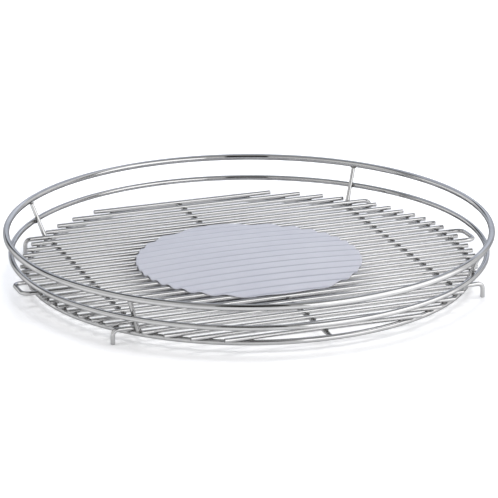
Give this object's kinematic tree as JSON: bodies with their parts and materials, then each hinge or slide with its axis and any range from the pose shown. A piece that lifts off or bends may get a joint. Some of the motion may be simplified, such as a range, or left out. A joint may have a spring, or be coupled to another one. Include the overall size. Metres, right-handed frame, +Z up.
{
  "type": "cooling rack",
  "caption": "Round wire rack with a raised double rail, parallel grid wires, finger loops, bent wire feet and a domed ribbed plate that lies over the middle of the grid.",
  "frame": {"origin": "centre of the rack, on the surface that the four feet stand on", "axes": "+Z up; +X along the grid wires, towards one finger loop; +Y across the grid wires"},
  "size_m": [0.45, 0.45, 0.0495],
  "materials": {
    "rail_wire": "polished round wire",
    "grid_wire": "polished round wire with square-cut ends",
    "plate": "satin pressed sheet"
  },
  "bodies": {
    "rack": {"top_rail": "rail_wire", "middle_rail": "rail_wire", "base_ring": "rail_wire", "cross_wire_left": "grid_wire", "cross_wire_middle": "grid_wire", "cross_wire_right": "grid_wire", "post_rear_right": "grid_wire", "post_rear_left": "grid_wire", "post_front_left": "grid_wire", "post_front_right": "grid_wire", "foot_wire_front": "grid_wire", "foot_wire_rear": "grid_wire", "finger_loops": "grid_wire", "grid_wire_01": "grid_wire", "grid_wire_02": "grid_wire", "grid_wire_03": "grid_wire", "grid_wire_04": "grid_wire", "grid_wire_05": "grid_wire", "grid_wire_06": "grid_wire", "grid_wire_07": "grid_wire", "grid_wire_08": "grid_wire", "grid_wire_09": "grid_wire", "grid_wire_10": "grid_wire", "grid_wire_11": "grid_wire", "grid_wire_12": "grid_wire", "grid_wire_13": "grid_wire", "grid_wire_14": "grid_wire", "grid_wire_15": "grid_wire", "grid_wire_16": "grid_wire", "grid_wire_17": "grid_wire", "grid_wire_18": "grid_wire", "grid_wire_19": "grid_wire", "grid_wire_20": "grid_wire", "grid_wire_21": "grid_wire", "grid_wire_22": "grid_wire", "grid_wire_23": "grid_wire"},
    "plate": {"centre_plate": "plate"}
  },
  "joints": [
    {"name": "plate_lift", "type": "slide", "parent": "rack", "child": "plate", "axis": [0, 0, 1], "range_m": [0, 0.06]}
  ]
}
